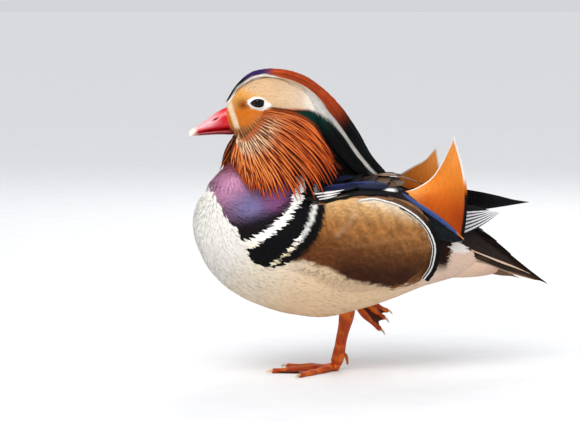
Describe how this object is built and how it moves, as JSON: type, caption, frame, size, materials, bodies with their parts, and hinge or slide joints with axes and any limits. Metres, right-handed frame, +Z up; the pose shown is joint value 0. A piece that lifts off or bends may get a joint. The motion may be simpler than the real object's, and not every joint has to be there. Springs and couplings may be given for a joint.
{
  "type": "mandarin duck",
  "caption": "Life-size model of a male mandarin duck standing on one leg with the other foot lifted, sail feathers raised and head turned slightly.",
  "frame": {"origin": "middle of the sole of the standing left foot, on the floor", "axes": "-X is where the bird faces, -Y its left side, +Z up"},
  "size_m": [0.2974, 0.1135, 0.2429],
  "materials": {
    "torso": "soft body feathers, white belly, purple breast with white and black bars",
    "neck": "soft feathers, chestnut to purple",
    "head": "soft short feathers, golden face and cream stripe",
    "bill": "glossy horn, red with a cream nail",
    "bill_lower": "glossy horn, dark red",
    "eyes": "wet black",
    "crest": "silky feathers, purple to copper to green-black",
    "ruff": "pointed plumes, orange with pale shafts",
    "wings": "vane feathers, brown and dark blue with white edges",
    "sails": "vane feathers, orange with a white edge",
    "flanks": "vane feathers, golden buff with fine dark lines",
    "tail": "vane feathers, dark brown",
    "vent": "soft white coverts",
    "leg": "scaled orange skin",
    "feet": "scaled orange skin with webs and pale claws"
  },
  "bodies": {
    "root": {"torso": "torso", "neck": "neck", "head": "head", "bill_upper": "bill", "bill_lower": "bill_lower", "eye_left": "eyes", "eye_right": "eyes", "crest": "crest", "ruff_left": "ruff", "ruff_right": "ruff", "wing_left": "wings", "wing_right": "wings", "sail_left": "sails", "sail_right": "sails", "flank_left": "flanks", "flank_right": "flanks", "tail": "tail", "vent": "vent", "leg_left": "leg", "foot_left": "feet", "foot_right": "feet"}
  },
  "joints": []
}
